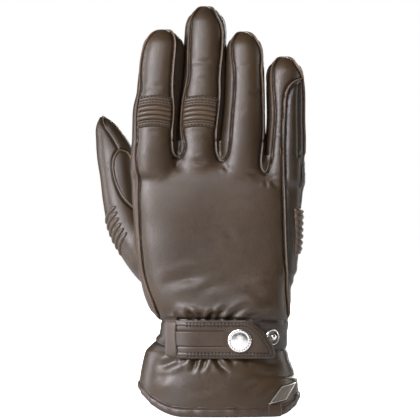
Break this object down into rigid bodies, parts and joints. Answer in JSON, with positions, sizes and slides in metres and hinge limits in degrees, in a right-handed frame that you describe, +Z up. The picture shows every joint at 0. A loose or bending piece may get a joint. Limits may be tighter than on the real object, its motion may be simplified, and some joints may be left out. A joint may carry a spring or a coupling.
{
  "type": "riding glove",
  "caption": "Right-hand leather riding glove with bending fingers and thumb, ribbed knuckle panels, padded outer edge, flared cuff and a snap strap round the wrist.",
  "frame": {"origin": "middle of the glove's overall width and depth, on the plane that the cuff hem stands on", "axes": "+Z up along the fingers, +X towards the little finger, +Y towards the palm; the back of the hand faces -Y"},
  "size_m": [0.1288, 0.0841, 0.2507],
  "materials": {
    "back_leather": "smooth dyed nappa leather with a soft sheen",
    "palm_leather": "smooth dyed nappa leather, a little more matt",
    "side_leather": "thin soft leather strips",
    "trim_leather": "smooth leather with stitched edges",
    "lining_fabric": "brushed knitted lining",
    "nickel_metal": "polished nickel plate",
    "elastic_tape": "woven elastic tape",
    "foam_padding": "soft closed-cell foam"
  },
  "bodies": {
    "hand": {"back_panel": "back_leather", "outer_side_panel": "back_leather", "thumb_side_gusset": "palm_leather", "palm_panel": "palm_leather", "thumb_root": "back_leather", "palm_edge_foam": "foam_padding", "palm_edge_patch": "back_leather", "wrist_band": "back_leather", "wrist_elastic": "elastic_tape", "cuff_back": "back_leather", "cuff_palm": "palm_leather", "cuff_hem": "trim_leather", "hem_tab": "trim_leather", "cuff_badge": "nickel_metal", "lining_hand": "lining_fabric", "strap_anchor": "trim_leather", "strap_keeper": "trim_leather", "closed_stud": "nickel_metal", "spare_stud": "nickel_metal"},
    "finger_roots": {"roots_back": "back_leather", "roots_palm": "palm_leather", "index_side_strip": "side_leather", "web_index_middle": "side_leather", "web_middle_ring": "side_leather", "web_ring_little": "side_leather", "little_side_strip": "side_leather", "lining_roots": "lining_fabric", "knuckle_crease_back": "back_leather", "knuckle_crease_palm": "palm_leather", "lining_knuckles": "lining_fabric"},
    "index_tip": {"index_back": "back_leather", "index_palm_side": "palm_leather", "index_fourchettes": "side_leather", "lining_index": "lining_fabric", "index_accordion": "back_leather"},
    "middle_tip": {"middle_back": "back_leather", "middle_palm_side": "palm_leather", "middle_fourchettes": "side_leather", "lining_middle": "lining_fabric", "middle_accordion": "back_leather"},
    "ring_tip": {"ring_back": "back_leather", "ring_palm_side": "palm_leather", "ring_fourchettes": "side_leather", "lining_ring": "lining_fabric", "ring_crease": "back_leather"},
    "little_tip": {"little_back": "back_leather", "little_palm_side": "palm_leather", "little_fourchettes": "side_leather", "lining_little": "lining_fabric", "little_crease": "back_leather"},
    "thumb_tip": {"thumb_back": "back_leather", "thumb_inner_panel": "palm_leather", "lining_thumb": "lining_fabric", "thumb_accordion": "back_leather"},
    "strap": {"strap_outer": "trim_leather", "strap_backing": "trim_leather", "snap_cap": "nickel_metal", "snap_socket": "nickel_metal", "strap_fold": "trim_leather"}
  },
  "joints": [
    {"name": "knuckle_fold", "type": "hinge", "parent": "hand", "child": "finger_roots", "pos_m": [0.00002, -0.01015, 0.136], "axis": [-1, 0, 0], "range_deg": [0, 50], "deforming": ["knuckle_crease_back", "knuckle_crease_palm", "lining_knuckles"]},
    {"name": "index_bend", "type": "hinge", "parent": "finger_roots", "child": "index_tip", "pos_m": [-0.02738, -0.00578, 0.186], "axis": [-0.9936, 0, 0.1132], "range_deg": [0, 65], "deforming": ["index_accordion"]},
    {"name": "middle_bend", "type": "hinge", "parent": "finger_roots", "child": "middle_tip", "pos_m": [0.00022, -0.00578, 0.186], "axis": [-0.9962, 0, 0.0872], "range_deg": [0, 65], "deforming": ["middle_accordion"]},
    {"name": "ring_bend", "type": "hinge", "parent": "finger_roots", "child": "ring_tip", "pos_m": [0.02752, -0.00604, 0.183], "axis": [-1, 0, 0], "range_deg": [0, 65], "deforming": ["ring_crease"]},
    {"name": "little_bend", "type": "hinge", "parent": "finger_roots", "child": "little_tip", "pos_m": [0.05252, -0.00718, 0.17], "axis": [-1, 0, 0], "range_deg": [0, 65], "deforming": ["little_crease"]},
    {"name": "thumb_bend", "type": "hinge", "parent": "hand", "child": "thumb_tip", "pos_m": [-0.04958, 0.01385, 0.123], "axis": [-1, 0, 0], "range_deg": [0, 40], "deforming": ["thumb_accordion"]},
    {"name": "strap_open", "type": "hinge", "parent": "hand", "child": "strap", "pos_m": [-0.01058, -0.03587, 0.04715], "axis": [0, 0, -1], "range_deg": [0, 110], "deforming": ["strap_fold"]}
  ]
}
